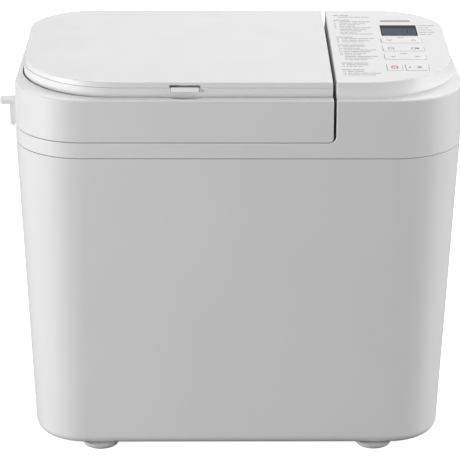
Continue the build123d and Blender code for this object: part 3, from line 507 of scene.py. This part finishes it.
def chevron(x, y, up, w=4.2 * MM, h=2.8 * MM, width=0.75 * MM):
    """An arrowhead that points to the back, or to the front when up is false."""
    s = 1 if up else -1
    return stroke([(x - w / 2, y - s * h / 2), (x, y + s * h / 2), (x + w / 2, y - s * h / 2)], width)


def loaf(x, y, w, h, width=0.7 * MM):
    """Outline of a loaf seen from its end: a box with a domed top that overhangs it."""
    overhang = 0.4 * MM
    steps = 8
    points = [(x - w / 2, y - h / 2), (x - w / 2, y + h * 0.1)]
    for i in range(steps + 1):
        a = pi - pi * i / steps
        points.append((x + (w / 2 + overhang) * cos(a), y + h * 0.15 + h * 0.35 * sin(a)))
    points += [(x + w / 2, y + h * 0.1), (x + w / 2, y - h / 2), (x - w / 2, y - h / 2)]
    return stroke(points, width)


def rocker_marks():
    """Arrowheads on the first and third rockers, and two sizes of loaf on the second."""
    for name in ("select", "timer"):
        x, y, top = key_face(f"{name}_key")
        marks = chevron(x - MARK_REACH, y, False) + chevron(x + MARK_REACH, y, True)
        plate(f"{name}_marks", marks, top, ink_grey, f"{name}_rocker")
    x, y, top = key_face("options_key")
    marks = loaf(x - MARK_REACH - 0.4 * MM, y, 4.6 * MM, 5.2 * MM)
    marks += loaf(x + MARK_REACH - 1.6 * MM, y, 3.8 * MM, 4.6 * MM)
    marks.append(oblong(x + MARK_REACH + 2.2 * MM, y, 2.6 * MM, 3.8 * MM))
    plate("options_marks", marks, top, ink_grey, "options_rocker")


def button_marks():
    """A red ring on the stop key; a red lamp and a crossed ring on the start key."""
    x, y, top = key_face("stop_key")
    red = ring(x, y, 6.8 * MM, 9.0 * MM, 1.2 * MM)
    red.append(oblong(x, y, 2.2 * MM, 1.0 * MM))
    plate("stop_marks", red, top, ink_red, "stop_button")
    x, y, top = key_face("start_key")
    plate("start_lamp", [disc(x - 6.9 * MM, y, 1.25 * MM)], top, ink_red, "start_button")
    x += 2 * MM
    icon = stroke([(x, y - 3 * MM), (x, y + 3 * MM)], 0.6 * MM)
    icon += stroke([(x - 2.6 * MM, y), (x + 2.8 * MM, y)], 0.6 * MM)
    icon += ring(x, y, 4.2 * MM, 4.2 * MM, 0.5 * MM, 24)
    plate("start_marks", icon, top, ink_grey, "start_button")


rocker_marks()
button_marks()

LABEL_PITCH = 2.2 * MM
SIDE_ROWS = [length * MM for length in (16.0, 10.5, 13.0, 14.5, 11.5)]
SIDE_PITCH = 7.3 * MM
SIDE_ROW_H = 1.0 * MM


def small_labels():
    """Three short dashes behind the first and third keys, and five rows of two right of the display."""
    dashes = []
    for name, dx in (("select_key", -0.4 * MM), ("timer_key", -0.8 * MM)):
        low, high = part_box(name)
        for i in (-1, 0, 1):
            x = (low.x + high.x) / 2 + dx + LABEL_PITCH * i
            dashes.append(oblong(x, high.y + 1.0 * MM, 1.7 * MM, 1.2 * MM))
    start = LENS_X[1] + 1.6 * MM
    for i, length in enumerate(SIDE_ROWS):
        y = LENS_Y[1] - 1.5 * MM - SIDE_PITCH * i
        dashes.append(oblong(start + length * 0.3, y, length * 0.56, SIDE_ROW_H))
        dashes.append(oblong(start + length * 0.82, y, length * 0.36, SIDE_ROW_H))
    plate("small_labels", dashes, TOP, ink_grey, "base")


small_labels()


def plain_bar():
    """One neutral bar behind the display, where a maker would print a name."""
    bar = oblong(LENS_X[0] + 0.46 * LENS_W, LENS_Y[1] + 14 * MM, 0.84 * LENS_W, 4.5 * MM)
    plate("plain_bar", [bar], TOP, ink_pale, "base")


plain_bar()

# ---------------------------------------------------------------- stage, lights, camera
FLOOR_SIZE = 14.0
PAPER_GLOW = 0.9
BACKING_Z = -0.5 * MM
WORLD_LIGHT = 0.31


def level_sheet(name, z, mat):
    """A square sheet of the stage, lying at height z."""
    mesh = bpy.data.meshes.new(name)
    corners = [(x, y, z) for x, y in oblong(0, 0, FLOOR_SIZE, FLOOR_SIZE)]
    mesh.from_pydata(corners, [], [(0, 1, 2, 3)])
    sheet = show(name, mesh, mat)
    return sheet


def paper(name, low, high):
    """Matt paper, clouded between two greys."""
    mat, shader = new_material(name, Roughness=0.9)
    tone = ramp(mat, noise(mat, place(mat), 3, 3), ((0.3, grey(low)), (0.7, grey(high))))
    join(mat, tone, shader.inputs["Base Color"])
    return mat, shader


def floor():
    """Even white paper for the camera alone, and a grey sheet under it that lights the object."""
    mat, shader = paper("floor_paper", 0.90, 0.92)
    shader.inputs["Emission Color"].default_value = (1, 1, 1, 1)
    shader.inputs["Emission Strength"].default_value = PAPER_GLOW
    white = level_sheet("floor", 0, mat)
    white.visible_diffuse = False
    white.visible_glossy = False
    mat, _ = paper("under_paper", 0.28, 0.3)
    level_sheet("floor_backing", BACKING_Z, mat).visible_camera = False


floor()


def softbox(name, where, at, size, power):
    """A rectangular lamp of this width and height, turned towards a point."""
    light = bpy.data.lights.new(name, "AREA")
    light.shape = "RECTANGLE"
    light.size, light.size_y = size
    light.energy = power
    light.spread = pi
    lamp = bpy.data.objects.new(name, light)
    lamp.location = where
    lamp.rotation_euler = (Vector(at) - Vector(where)).to_track_quat("-Z", "Y").to_euler()
    bpy.context.scene.collection.objects.link(lamp)


MIDDLE = (0, 0, 0.2)
softbox("top_back_light", (0, 1.6, 1.9), (0, 0.1, 0.3), (2.4, 1.2), 37)
softbox("left_light", (-1.8, -1.0, 0.35), MIDDLE, (0.8, 0.6), 31)
softbox("right_light", (2.2, -0.4, 0.9), MIDDLE, (1.0, 1.6), 37.4)
softbox("overhead_light", (0, -0.2, 2.2), (0, -0.2, 0.3), (2.4, 0.7), 3)

world = bpy.data.worlds.new("studio")
bpy.context.scene.world = world
world.use_nodes = True
sky = world.node_tree.nodes["Background"]
sky.inputs["Color"].default_value = (1, 1, 1, 1)
sky.inputs["Strength"].default_value = WORLD_LIGHT
bpy.context.scene.view_settings.view_transform = "Standard"

CAMERA_AT = (-40.9 * MM, -2386 * MM, 1086 * MM)
LENS = 208.9  # focal length in mm
SENSOR = 36
PITCH = 20.72  # degrees below the horizon
TURN = 0.779  # then about the camera's own upright axis, to the right
DIP = 0.116  # and last a little further down

lens = bpy.data.cameras.new("camera")
lens.lens = LENS
lens.sensor_width = SENSOR
lens.clip_end = 50
camera = bpy.data.objects.new("camera", lens)
camera.matrix_world = (
    Matrix.Translation(CAMERA_AT)
    @ Matrix.Rotation(radians(90 - PITCH), 4, "X")
    @ Matrix.Rotation(radians(-TURN), 4, "Y")
    @ Matrix.Rotation(radians(-DIP), 4, "X")
)
bpy.context.scene.collection.objects.link(camera)
bpy.context.scene.camera = camera
